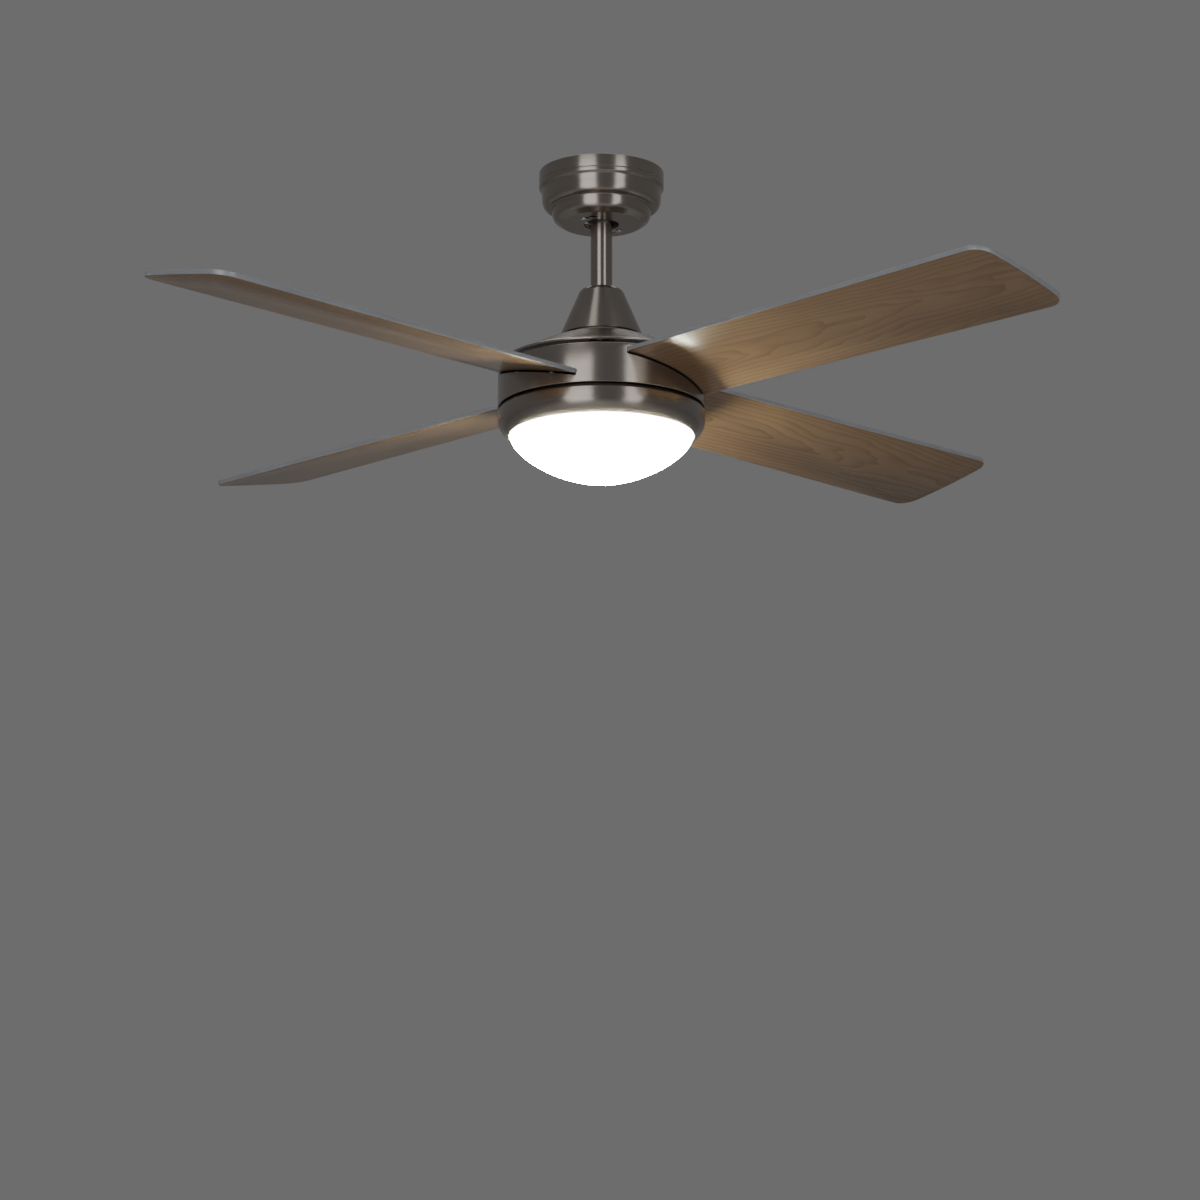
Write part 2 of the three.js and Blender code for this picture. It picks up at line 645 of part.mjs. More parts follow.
function bladeScrew(number, letter, side) {
  const length = BLADE_THICKNESS + HOLDER_THICKNESS + 3;
  const piece = mesh(`blade_screw_${number}${letter}`, screw(2.1, length, 3.8, 1.9), zincSteel);
  piece.position.set(BLADE_SCREW_X, side * BLADE_SCREW_Y, -GAP);
  piece.rotation.x = Math.PI;
  return piece;
}

function holderScrew(number, letter, side) {
  const padTop = BLADE_UNDERSIDE + BLADE_THICKNESS + GAP + HOLDER_THICKNESS;
  const piece = mesh(`holder_screw_${number}${letter}`, screw(2.2, 8, 4, 2.6), zincSteel);
  piece.position.set(HOLDER_SCREW_X, side * HOLDER_SCREW_Y, padTop + GAP);
  return piece;
}

// One blade with its holder and screws, turned to its place round the drum.
function bladeArm(angle, number) {
  const arm = new THREE.Group();
  const pitched = new THREE.Group();
  arm.rotation.z = angle;
  pitched.position.z = BLADE_UNDERSIDE;
  pitched.rotation.x = -BLADE_PITCH;
  pitched.add(blade(number), bladeHolder(number));
  [['a', -1], ['b', 1]].forEach(([letter, side]) => {
    pitched.add(bladeScrew(number, letter, side));
    arm.add(holderScrew(number, letter, side));
  });
  arm.add(pitched);
  return arm;
}

// ---------------------------------------------------------------- light kit

// Fixed pan under the motor, with a skirt inside the ring and pillars for the circuit board.
function lightPan() {
  const inner = PAN_RADIUS - SHELL_WALL;
  const floor = PAN_TOP - SHELL_WALL;
  const dish = turned([
    [SHAFT_RADIUS + GAP, floor],
    [inner, floor],
    [inner, PAN_SKIRT_BOTTOM],
    [PAN_RADIUS, PAN_SKIRT_BOTTOM],
    [PAN_RADIUS, PAN_TOP],
    [SHAFT_RADIUS + GAP, PAN_TOP],
  ]);
  const pillars = Array.from({ length: 3 }, (_, i) =>
    rod(4, BOARD_TOP + GAP, floor + 0.5).translate(PILLAR_CIRCLE, 0, 0).rotateZ((i * 120 - 90) * degrees));
  return mesh('light_pan', join(dish, ...pillars), castAluminium);
}

function bayonetSector(inner, outer, halfAngle, bottom, top, turn) {
  const sector = new THREE.Shape();
  sector.absarc(0, 0, outer, -halfAngle, halfAngle);
  sector.absarc(0, 0, inner, halfAngle, -halfAngle, true);
  sector.closePath();
  return slab(sector, bottom, top, 3).rotateZ(turn);
}

function bayonetTurns() {
  return Array.from({ length: BAYONET_COUNT }, (_, i) => (i * 360 / BAYONET_COUNT + 30) * degrees);
}

// Bowl-shaped metal ring round the diffuser, with three tabs inside for the diffuser's lugs.
function lightRing() {
  const line = new THREE.Path();
  line.moveTo(RING_BOTTOM_RADIUS, RING_BOTTOM);
  line.bezierCurveTo(120, -333, 126.2, -326, DRUM_RADIUS, -316);
  line.lineTo(DRUM_RADIUS, RING_TOP);
  const ring = turned(sheetOutline(line.getPoints(3), 1.2), 40);
  const tabs = bayonetTurns().map((turn) =>
    bayonetSector(112.4, 121.5, 11 * degrees, BAYONET_Z - 1.5, BAYONET_Z, turn));
  return mesh('light_ring', join(ring, ...tabs), brushedNickel);
}

function ledBoard() {
  return mesh('led_board', tube(BOARD_RADIUS, 15, BOARD_TOP - 1.6, BOARD_TOP, CORE_SIDES), circuitBoard);
}

function ledDriver() {
  const piece = mesh('led_driver', slab(roundedRectangle(110, 40, 4), -324, -306), whitePlastic);
  piece.position.y = 46;
  return piece;
}

// Opal bowl, slightly pointed below, with a neck inside the ring and three bayonet lugs.
function diffuser() {
  const bowl = new THREE.Path();
  bowl.moveTo(0, DIFFUSER_BOTTOM);
  bowl.bezierCurveTo(
    DIFFUSER_BELLY, DIFFUSER_BOTTOM,
    DIFFUSER_RADIUS, DIFFUSER_SHOULDER,
    DIFFUSER_RADIUS, RING_BOTTOM,
  );
  bowl.lineTo(DIFFUSER_RADIUS, DIFFUSER_TOP);
  const outline = sheetOutline(bowl.getPoints(8), DIFFUSER_WALL);
  outline.at(-1).x = 0;
  const shell = turned(outline);
  const lugs = bayonetTurns().map((turn) =>
    bayonetSector(109.7, 116, 10 * degrees, BAYONET_Z + GAP, DIFFUSER_TOP - GAP, turn));
  return mesh('diffuser', join(shell, ...lugs), opalGlass);
}

// ---------------------------------------------------------------- assembly

const fan = new THREE.Group();

const ceilingEnd = new THREE.Group();
ceilingEnd.rotation.z = BRACKET_ANGLE;
ceilingEnd.add(hangerBracket(), receiverBox(), terminalBlock(), canopyScrew(1, 1), canopyScrew(2, -1));
ceilingEnd.add(hangerBall(), hangerPin(), ballSetScrew());

const hanging = new THREE.Group();
hanging.add(downrod(), rodCoupling(), couplingScrew(1, 1), couplingScrew(2, -1), clevisPin(), cotterPin());
hanging.add(couplingCover(), upperHousing(), motorShaft(), shaftNut(), statorCore());
hanging.add(winding('winding_upper', STATOR_TOP + GAP + 6), winding('winding_lower', STATOR_BOTTOM - GAP - 6));
hanging.add(lightPan(), lightRing(), ledBoard(), ledDriver());

const rotor = new THREE.Group();
rotor.add(motorShellUpper(), motorShellLower(), rotorRing(), drum());
rotor.add(bearing('bearing_upper', -223.5), bearing('bearing_lower', -290.5));
bladeAngles().forEach((angle, i) => rotor.add(bladeArm(angle, i + 1)));

fan.add(ceilingEnd, canopy(), hanging, rotor, diffuser());

export default fan;
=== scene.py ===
"""Four-blade ceiling fan with a light bowl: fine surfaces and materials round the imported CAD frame."""

import json
import math

import bmesh
import bpy
from mathutils import Matrix, Vector


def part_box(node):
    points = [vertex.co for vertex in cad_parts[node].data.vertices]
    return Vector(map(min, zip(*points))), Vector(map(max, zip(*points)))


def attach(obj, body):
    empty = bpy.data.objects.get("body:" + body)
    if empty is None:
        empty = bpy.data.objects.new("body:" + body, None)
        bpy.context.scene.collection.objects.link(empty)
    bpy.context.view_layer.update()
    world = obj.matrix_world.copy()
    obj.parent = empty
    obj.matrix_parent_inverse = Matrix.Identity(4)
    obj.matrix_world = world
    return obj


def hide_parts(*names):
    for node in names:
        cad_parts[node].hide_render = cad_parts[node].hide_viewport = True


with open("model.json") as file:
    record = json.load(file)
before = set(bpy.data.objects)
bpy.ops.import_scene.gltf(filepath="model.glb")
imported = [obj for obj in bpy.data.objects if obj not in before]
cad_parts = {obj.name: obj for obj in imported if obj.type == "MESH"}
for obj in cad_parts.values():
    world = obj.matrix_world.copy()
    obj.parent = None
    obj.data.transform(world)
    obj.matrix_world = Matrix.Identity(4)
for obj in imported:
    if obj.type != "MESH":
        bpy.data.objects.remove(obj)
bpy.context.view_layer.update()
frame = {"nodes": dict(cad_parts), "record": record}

MM = 0.001

# How fine the meshes are.
SHELL_SIDES = 192
ROD_SIDES = 96
SCREW_SIDES = 32
SOFTEN_STEPS = 4
# Edges that bend more than this stay sharp.
SHARP = math.radians(32)

# Points closer than this are one point after a cut.
MERGE_DISTANCE = 1e-7

SHEET_WALL = 1.2 * MM

BLADE_COUNT = 4
FIRST_BLADE_ANGLE = math.radians(-45)
BLADE_PITCH = math.radians(11.8)
BLADE_THICKNESS = 5.5 * MM
BLADE_TIP_RADIUS = 660 * MM
# Metres of wood figure from one blade to the next, so that no two blades look alike.
BOARD_STEP = 2.0

# Angles round the fan's axis, in degrees.
CANOPY_SCREW_ANGLE = 47
CANOPY_TWIST = 24
BAYONET_TURNS = (30, 150, 270)

# Height of the upper face of the ring's tabs, which the bowl's lugs rest on.
TAB_TOP = -326 * MM


# ---------------------------------------------------------------- sizes from the frame

def high(node):
    """Highest corner of a frame node's box."""
    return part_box(node)[1]


def low(node):
    """Lowest corner of a frame node's box."""
    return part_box(node)[0]


def blade_underside_height():
    """Height of a blade's underside on its centreline: the slope is even, so the box's middle gives it."""
    below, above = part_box("blade_1")
    return (below.z + above.z) / 2 - BLADE_THICKNESS / 2 / math.cos(BLADE_PITCH)


# ---------------------------------------------------------------- outlines

def bezier(*points, steps):
    """Points on a Bezier curve of any degree, without its first point."""
    made = []
    for i in range(1, steps + 1):
        t = i / steps
        row = [Vector(p) for p in points]
        while len(row) > 1:
            row = [a.lerp(b, t) for a, b in zip(row, row[1:])]
        made.append(row[0])
    return made


def sheet(line, wall):
    """Closed outline of a sheet whose outer face follows the line; the sheet lies on the line's left."""
    line = [Vector(p) for p in line]
    inner = []
    for i, point in enumerate(line):
        before = (point - line[i - 1]).normalized() if i else (line[1] - point).normalized()
        after = (line[i + 1] - point).normalized() if i < len(line) - 1 else before
        middle = (before + after).normalized()
        reach = wall / max(middle.dot(after), 0.5)
        inner.append(point + Vector((-middle.y, middle.x)) * reach)
    return line + inner[::-1]


def soften(outline, radius, corners):
    """The closed outline with the numbered corners rounded off. Each then has SOFTEN_STEPS more points."""
    most = 0.45
    made = []
    for i, point in enumerate(outline):
        if i not in corners:
            made.append(point)
            continue
        back = outline[i - 1] - point
        forth = outline[(i + 1) % len(outline)] - point
        reach = min(radius, most * back.length, most * forth.length)
        start = point + back.normalized() * reach
        made.append(start)
        made += bezier(start, point, point + forth.normalized() * reach, steps=SOFTEN_STEPS)
    return made


def soft_sheet(line, wall, radius):
    """Closed outline of a sheet, as above, with the corners at its two ends rounded off."""
    last = len(line) - 1
    return soften(sheet(line, wall), radius, [0, last, last + 1, 2 * last + 1])


def polar(radius, degrees):
    """Point in plan, round the fan's axis."""
    turn = math.radians(degrees)
    return radius * math.cos(turn), radius * math.sin(turn)


def arc(centre, radius, start, end, steps):
    """Points on an arc, in degrees, first and last included."""
    angles = [math.radians(start + (end - start) * i / steps) for i in range(steps + 1)]
    return [Vector((centre[0] + radius * math.cos(a), centre[1] + radius * math.sin(a))) for a in angles]


def circle(centre, radius, steps):
    """Points round a full circle."""
    return arc(centre, radius, 0, 360, steps)[:-1]


def sector(inner, outer, half_angle, turn):
    """Corners of a piece of a ring in plan, about the fan's axis. Angles in degrees."""
    steps = 8
    far = arc((0, 0), outer, turn - half_angle, turn + half_angle, steps)
    near = arc((0, 0), inner, turn + half_angle, turn - half_angle, steps)
    return far + near


# ---------------------------------------------------------------- meshes

def shade(bm, smooth=True):
    """Smooth or flat faces, with every sharp or open edge marked."""
    for face in bm.faces:
        face.smooth = smooth
    for edge in bm.edges:
        edge.smooth = len(edge.link_faces) == 2 and edge.calc_face_angle(0) < SHARP


def finish_mesh(name, bm, materials, smooth=True):
    """A new object from a bmesh, which is used up."""
    bmesh.ops.recalc_face_normals(bm, faces=bm.faces)
    shade(bm, smooth)
    data = bpy.data.meshes.new(name)
    bm.to_mesh(data)
    bm.free()
    piece = bpy.data.objects.new(name, data)
    bpy.context.scene.collection.objects.link(piece)
    for material in materials:
        data.materials.append(material)
    return piece


def lathe(name, outline, material, sides=SHELL_SIDES):
    """Turn a closed (radius, height) outline about the fan's axis. A point on the axis stays one vertex."""
    on_axis = 1e-6
    bm = bmesh.new()
    rings = []
    for radius, height in outline:
        if radius < on_axis:
            rings.append([bm.verts.new((0, 0, height))] * sides)
            continue
        turn = [2 * math.pi * i / sides for i in range(sides)]
        rings.append([bm.verts.new((radius * math.cos(a), radius * math.sin(a), height)) for a in turn])
    for k, ring in enumerate(rings):
        following = rings[(k + 1) % len(rings)]
        for i in range(sides):
            j = (i + 1) % sides
            corners = []
            for vert in (ring[i], ring[j], following[j], following[i]):
                if vert not in corners:
                    corners.append(vert)
            if len(corners) > 2:
                bm.faces.new(corners)
    return finish_mesh(name, bm, [material])


def cut(piece, *tools, operation="DIFFERENCE"):
    """Cut tool objects out of a piece for good, or join them to it, and delete them."""
    for tool in tools:
        modifier = piece.modifiers.new("cut", "BOOLEAN")
        modifier.object = tool
        modifier.operation = operation
        modifier.solver = "EXACT"
    graph = bpy.context.evaluated_depsgraph_get()
    bm = bmesh.new()
    bm.from_mesh(piece.evaluated_get(graph).to_mesh())
    piece.modifiers.clear()
    bmesh.ops.remove_doubles(bm, verts=bm.verts, dist=MERGE_DISTANCE)
    for face in bm.faces:
        face.material_index = 0
    shade(bm)
    bm.to_mesh(piece.data)
    bm.free()
    for tool in tools:
        bpy.data.objects.remove(tool)
    return piece


def prism(name, corners, bottom, top):
    """Upright solid over a polygon in plan, to cut with or to join on."""
    bm = bmesh.new()
    base = [bm.verts.new((x, y, bottom)) for x, y in corners]
    face = bm.faces.new(base)
    raised = bmesh.ops.extrude_face_region(bm, geom=[face])["geom"]
    lifted = [v for v in raised if isinstance(v, bmesh.types.BMVert)]
    bmesh.ops.translate(bm, verts=lifted, vec=(0, 0, top - bottom))
    return finish_mesh(name, bm, [], smooth=False)


def place(piece, body, slot, *nodes):
    """Put a finished piece on its body, in the stead of the CAD nodes it shows."""
    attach(piece, body)
    if nodes:
        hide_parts(*nodes)
    return piece


# ---------------------------------------------------------------- material helpers

class Nodes:
    """Short calls for building one material's node tree."""

    def __init__(self, name):
        self.material = bpy.data.materials.new(name)
        self.material.use_nodes = True
        self.tree = self.material.node_tree
        self.shader = self.tree.nodes["Principled BSDF"]

    def add(self, kind, values=None, **settings):
        """A new node. Settings go by name, and its inputs take a number, a colour or a node's output."""
        node = self.tree.nodes.new(kind)
        for key, value in settings.items():
            setattr(node, key, value)
        for key, value in (values or {}).items():
            if isinstance(value, bpy.types.NodeSocket):
                self.tree.links.new(value, node.inputs[key])
            else:
                node.inputs[key].default_value = value
        return node

    def math(self, operation, *values):
        return self.add("ShaderNodeMath", dict(enumerate(values)), operation=operation).outputs[0]

    def noise(self, vector, scale, detail, roughness=0.5):
        values = {"Vector": vector, "Scale": scale, "Detail": detail, "Roughness": roughness}
        return self.add("ShaderNodeTexNoise", values).outputs["Fac"]

    def scaled(self, vector, x, y, z):
        return self.add("ShaderNodeVectorMath", {0: vector, 1: (x, y, z)}, operation="MULTIPLY").outputs[0]

    def position(self):
        """Place on the piece itself, in metres, so that the grain rides with it."""
        return self.add("ShaderNodeTexCoord").outputs["Object"]

    def between(self, factor, low_value, high_value):
        """Map 0..1 to a range of numbers."""
        values = {"Value": factor, "To Min": low_value, "To Max": high_value}
        return self.add("ShaderNodeMapRange", values).outputs["Result"]

    def ramp(self, factor, *stops):
        """Colour ramp through (place, colour) stops."""
        node = self.add("ShaderNodeValToRGB", {"Fac": factor})
        elements = node.color_ramp.elements
        while len(elements) < len(stops):
            elements.new(0.5)
        for element, (place_on_ramp, colour) in zip(elements, stops):
            element.position = place_on_ramp
            element.color = (*colour, 1)
        return node.outputs["Color"]

    def mix(self, factor, first, second):
        """Blend of two colours. This node's inputs 6 and 7 are the colours, and output 2 is their blend."""
        node = self.add("ShaderNodeMix", data_type="RGBA")
        inputs = node.inputs
        for socket, value in ((inputs["Factor"], factor), (inputs[6], first), (inputs[7], second)):
            if isinstance(value, bpy.types.NodeSocket):
                self.tree.links.new(value, socket)
            else:
                socket.default_value = (*value, 1) if isinstance(value, tuple) else value
        return node.outputs[2]

    def bump(self, height, strength, distance):
        values = {"Height": height, "Strength": strength, "Distance": distance}
        return self.add("ShaderNodeBump", values).outputs["Normal"]

    def set(self, **values):
        """Set the shader's sockets, by name with underscores for spaces."""
        for key, value in values.items():
            socket = self.shader.inputs[key.replace("_", " ")]
            if isinstance(value, bpy.types.NodeSocket):
                self.tree.links.new(value, socket)
            elif isinstance(value, tuple) and len(value) == 3 and len(socket.default_value) == 4:
                socket.default_value = (*value, 1)
            else:
                socket.default_value = value
        return self.material


def dimmed(colour, share):
    """The colour with only a share of its brightness."""
    return tuple(channel * share for channel in colour)


def brushed_nickel(name, dark, light, roughness):
    """Satin nickel brushed round the fan's axis, with fine and broad streaks and a few handling marks."""
    n = Nodes(name)
    x, y, z = n.add("ShaderNodeSeparateXYZ", {0: n.position()}).outputs
    radius = n.math("SQRT", n.math("ADD", n.math("MULTIPLY", x, x), n.math("MULTIPLY", y, y)))
    along_profile = n.math("ADD", radius, n.math("MULTIPLY", z, 1.3))
    safe_radius = n.math("MAXIMUM", radius, 1 * MM)
    around = (n.math("DIVIDE", x, safe_radius), n.math("DIVIDE", y, safe_radius))

    def streaks(per_metre, round_scale, detail):
        """Noise that changes fast along the profile and slowly round the axis."""
        vector = n.add("ShaderNodeCombineXYZ", {
            "X": n.math("MULTIPLY", along_profile, per_metre),
            "Y": n.math("MULTIPLY", around[0], round_scale),
            "Z": n.math("MULTIPLY", around[1], round_scale),
        }).outputs[0]
        return n.noise(vector, 1.0, detail)

    fine = streaks(5200.0, 9.0, 2.0)
    broad = streaks(1100.0, 3.0, 2.0)
    marks = n.noise(n.position(), 26.0, 4.0, 0.6)
    tone = n.math("ADD", n.math("MULTIPLY", fine, 0.65), n.math("MULTIPLY", broad, 0.35))
    colour = n.ramp(tone, (0.30, dark), (0.70, light))
    colour = n.mix(n.between(marks, 0.0, 0.10), colour, dimmed(dark, 0.8))
    gloss = n.between(tone, roughness - 0.03, roughness + 0.03)
    gloss = n.math("ADD", gloss, n.between(marks, -0.02, 0.02))
    tangent = n.add("ShaderNodeTangent", direction_type="RADIAL", axis="Z").outputs[0]
    return n.set(
        Base_Color=colour, Roughness=gloss, Metallic=1.0, Anisotropic=0.75, Anisotropic_Rotation=0.25,
        Tangent=tangent, Normal=n.bump(tone, 0.04, 0.0002),
    )


def plated_steel(name, base, roughness, grain):
    """Plated or rolled metal with a faint spangle."""
    n = Nodes(name)
    spangle = n.noise(n.position(), grain, 3.0, 0.6)
    smudge = n.noise(n.position(), grain / 12, 2.0)
    colour = n.ramp(spangle, (0.3, dimmed(base, 0.82)), (0.7, base))
    gloss = n.between(spangle, roughness - 0.08, roughness + 0.08)
    gloss = n.math("ADD", gloss, n.between(smudge, -0.06, 0.08))
    return n.set(Base_Color=colour, Roughness=gloss, Metallic=1.0, Normal=n.bump(spangle, 0.15, 0.0003))


def moulded_plastic(name, base, roughness):
    """Moulded plastic with a fine spark-eroded texture."""
    n = Nodes(name)
    pits = n.noise(n.position(), 1800.0, 2.0, 0.6)
    cloud = n.noise(n.position(), 40.0, 2.0)
    colour = n.ramp(cloud, (0.3, dimmed(base, 0.9)), (0.7, base))
    return n.set(
        Base_Color=colour, Roughness=n.between(pits, roughness - 0.05, roughness + 0.08),
        Normal=n.bump(pits, 0.2, 0.0002),
    )


def layered_metal(name, base, per_metre, roughness):
    """Metal built of stacked sheets or turns of wire, with a line at each layer."""
    n = Nodes(name)
    z = n.add("ShaderNodeSeparateXYZ", {0: n.position()}).outputs[2]
    layer = n.math("PINGPONG", n.math("MULTIPLY", z, per_metre), 1.0)
    grime = n.noise(n.position(), 90.0, 3.0)
    colour = n.mix(layer, dimmed(base, 0.45), base)
    colour = n.mix(n.between(grime, 0.0, 0.35), colour, dimmed(base, 0.5))
    return n.set(
        Base_Color=colour, Roughness=n.between(grime, roughness, roughness + 0.15), Metallic=1.0,
        Normal=n.bump(layer, 0.5, 0.0005),
    )


def maple_laminate(name):
    """Satin maple laminate. The mesh's UVs are metres along and across the blade.

    The board is a cut through growth rings that rises slowly outwards, so their lines form long arches.
    """
    rings_per_metre = 135.0
    rise = 0.075
    wood_dark = (0.225, 0.140, 0.078)
    wood_light = (0.285, 0.186, 0.108)
    ring_brown = (0.130, 0.072, 0.038)
    streak_brown = (0.175, 0.104, 0.056)
    pore_brown = (0.11, 0.062, 0.032)
    n = Nodes(name)
    board = n.add("ShaderNodeUVMap", uv_map="board").outputs[0]
    along, across, _ = n.add("ShaderNodeSeparateXYZ", {0: board}).outputs
    out_from_axis = n.math("MODULO", along, BOARD_STEP)
    drift = n.between(n.noise(n.scaled(board, 1.3, 1.0, 1.0), 1.0, 1.0), -0.03, 0.03)
    wobble = n.between(n.noise(n.scaled(board, 5.0, 22.0, 1.0), 1.0, 2.0), -0.024, 0.024)
    depth = n.math("ADD", n.math("MULTIPLY", out_from_axis, rise), wobble)
    aside = n.math("ADD", across, drift)
    squares = n.math("ADD", n.math("MULTIPLY", aside, aside), n.math("MULTIPLY", depth, depth))
    ring = n.math("FRACT", n.math("MULTIPLY", n.math("SQRT", squares), rings_per_metre))
    line = n.math("POWER", ring, 3.0)
    streaks = n.noise(n.scaled(board, 9.0, 420.0, 1.0), 1.0, 4.0, 0.6)
    pores = n.noise(n.scaled(board, 60.0, 2200.0, 1.0), 1.0, 2.0, 0.7)
    patches = n.noise(n.scaled(board, 3.0, 14.0, 1.0), 1.0, 3.0)
    deep_pores = n.math("GREATER_THAN", pores, 0.66)
    colour = n.ramp(patches, (0.30, wood_dark), (0.70, wood_light))
    colour = n.mix(n.math("MULTIPLY", line, 0.62), colour, ring_brown)
    colour = n.mix(n.between(streaks, -0.10, 0.34), colour, streak_brown)
    colour = n.mix(n.math("MULTIPLY", deep_pores, 0.22), colour, pore_brown)
    return n.set(
        Base_Color=colour, Roughness=n.between(streaks, 0.17, 0.24), Specular_IOR_Level=0.6,
        Normal=n.bump(n.math("ADD", streaks, n.math("MULTIPLY", pores, 0.5)), 0.06, 0.0002),
    )


def silver_laminate(name, base):
    """Silver-grey foil with a faint brushed grain along the blade, for its top and edges."""
    n = Nodes(name)
    board = n.add("ShaderNodeUVMap", uv_map="board").outputs[0]
    grain = n.noise(n.scaled(board, 12.0, 900.0, 1.0), 1.0, 3.0, 0.6)
    cloud = n.noise(n.scaled(board, 7.0, 20.0, 1.0), 1.0, 2.0)
    colour = n.ramp(grain, (0.3, dimmed(base, 0.86)), (0.7, base))
    colour = n.mix(n.between(cloud, 0.0, 0.2), colour, dimmed(base, 0.85))
    return n.set(
        Base_Color=colour, Metallic=0.35, Roughness=n.between(grain, 0.34, 0.46),
        Normal=n.bump(grain, 0.08, 0.0002),
    )


def opal(name, colour, strength):
    """Lit opal bowl: an even white glow, a little weaker towards the rim, under a glossy skin."""
    n = Nodes(name)
    z = n.add("ShaderNodeSeparateXYZ", {0: n.position()}).outputs[2]
    rim_share = 0.72
    depth = n.add("ShaderNodeMapRange", {
        "Value": z, "From Min": high("diffuser").z, "From Max": low("diffuser").z,
        "To Min": rim_share, "To Max": 1.0,
    }).outputs["Result"]
    frost = n.noise(n.position(), 60.0, 3.0)
    glow = n.math("MULTIPLY", n.math("MULTIPLY", depth, n.between(frost, 0.97, 1.03)), strength)
    skin = n.noise(n.position(), 900.0, 2.0)
    return n.set(
        Base_Color=(0.93, 0.93, 0.92), Roughness=n.between(skin, 0.18, 0.26),
        Emission_Color=colour, Emission_Strength=glow, Normal=n.bump(skin, 0.05, 0.0001),
    )


NICKEL = brushed_nickel("nickel_brushed", (0.36, 0.318, 0.282), (0.44, 0.395, 0.355), 0.25)
# Dark brown for the light pan, in the stead of its cast aluminium: painted shade for the shaded groove
# between the drum and the ring.
PAN_PAINTED_SHADE = plated_steel("pan_painted_shade", (0.060, 0.050, 0.044), 0.55, 500.0)
ZINC = plated_steel("zinc_plate", (0.74, 0.75, 0.77), 0.28, 260.0)
CAST = plated_steel("cast_aluminium_skin", (0.60, 0.61, 0.62), 0.5, 700.0)
LAMINATED = layered_metal("stacked_laminations", (0.28, 0.29, 0.31), 1000.0, 0.45)
COPPER = layered_metal("copper_turns", (0.72, 0.33, 0.14), 900.0, 0.3)
# Black plastic. On the blades' tabs the same black is painted shade.
BLACK = moulded_plastic("black_moulding_and_painted_shade", (0.012, 0.012, 0.013), 0.6)
# Near-black steel for the hanger bracket: painted shade for the dark inside the canopy, in the stead of its
# zinc.
BRACKET_PAINTED_SHADE = plated_steel("bracket_painted_shade", (0.035, 0.035, 0.037), 0.5, 300.0)
WHITE = moulded_plastic("white_moulding", (0.82, 0.82, 0.79), 0.42)
BOARD = moulded_plastic("solder_mask", (0.88, 0.88, 0.85), 0.35)
MAPLE = maple_laminate("maple_foil")
SILVER = silver_laminate("silver_foil", (0.50, 0.52, 0.55))
SILVER_EDGE = silver_laminate("silver_edge_band", (0.46, 0.48, 0.52))
OPAL = opal("opal_lit", (1.0, 0.985, 0.76), 130.0)

SLOT_MATERIAL = {
    "brushed_nickel": NICKEL,
    "zinc_steel": ZINC,
    "cast_aluminium": CAST,
    "electrical_steel": LAMINATED,
    "copper_winding": COPPER,
    "black_plastic": BLACK,
    "white_plastic": WHITE,
    "led_board": BOARD,
    "maple_blade": MAPLE,
    "opal_glass": OPAL,
}


# ---------------------------------------------------------------- canopy

def keyhole(angle, bottom, top):
    """Cutters for one keyhole slot: a narrow arc from the screw's rest place, and the hole it ends in."""
    screw_circle = 31.5 * MM
    half_slot = 2.5 * MM
    hole_radius = 4.8 * MM
    end = angle + CANOPY_TWIST
    outer = arc((0, 0), screw_circle + half_slot, angle, end, 12)
    inner = arc((0, 0), screw_circle - half_slot, end, angle, 12)
    cap = arc(polar(screw_circle, angle), half_slot, angle - 180, angle, 10)[1:-1]
    hole = circle(polar(screw_circle, end), hole_radius, 32)
    return [prism("slot_tool", outer + inner + cap, bottom, top), prism("hole_tool", hole, bottom, top)]


def canopy():
    """Stepped cup with a fine groove near its rim, turned, then cut through for the two keyhole slots."""
    rim = high("canopy").x
    top = high("canopy").z
    bottom = low("canopy").z
    rod_hole = 21.5 * MM

    def at(inwards, above_bottom):
        return Vector((rim - inwards * MM, bottom + above_bottom * MM))

    line = [Vector((rod_hole, bottom)), at(27.0, 0.0), at(21.7, 3.8)]
    base_bend = 1
    line += bezier(line[-1], at(17.5, 5.3), at(15.8, 10.8), at(15.5, 18.8), steps=14)
    step = len(line) - 1
    line += [at(14.5, 20.6)]
    line += bezier(line[-1], at(6.5, 19.2), at(3.7, 23.8), at(3.5, 34.8), steps=16)
    line += [at(3.3, 40.8)]
    line += bezier(line[-1], at(3.0, 43.8), at(0.0, 44.3), at(0.0, 46.8), steps=8)
    groove = len(line)
    line += [at(0.0, 49.7), at(0.5, 50.5), at(0.0, 51.3), Vector((rim, top))]
    outline = soften(sheet(line, SHEET_WALL), 0.5 * MM, [step, step + 1, groove, groove + 2, groove + 3])
    outline = soften(outline, 3 * MM, [base_bend])
    shell = lathe("canopy_shell", outline, NICKEL)
    margin = 4 * MM
    tools = []
    for half_turn in (0, 180):
        tools += keyhole(CANOPY_SCREW_ANGLE + half_turn, bottom - margin, bottom + margin)
    return place(cut(shell, *tools), "canopy", "brushed_nickel", "canopy")


# ---------------------------------------------------------------- downrod, cover and housing

def downrod():
    """Plain pipe with lightly chamfered ends."""
    outer = high("downrod").x
    top = high("downrod").z
    bottom = low("downrod").z
    wall = 2.3 * MM
    edge = 0.5 * MM
    outline = [
        (outer - wall, bottom), (outer - edge, bottom), (outer, bottom + edge),
        (outer, top - edge), (outer - edge, top), (outer - wall, top),
    ]
    pipe = lathe("downrod_pipe", outline, NICKEL, ROD_SIDES)
    return place(pipe, "hanging_frame", "brushed_nickel", "downrod")


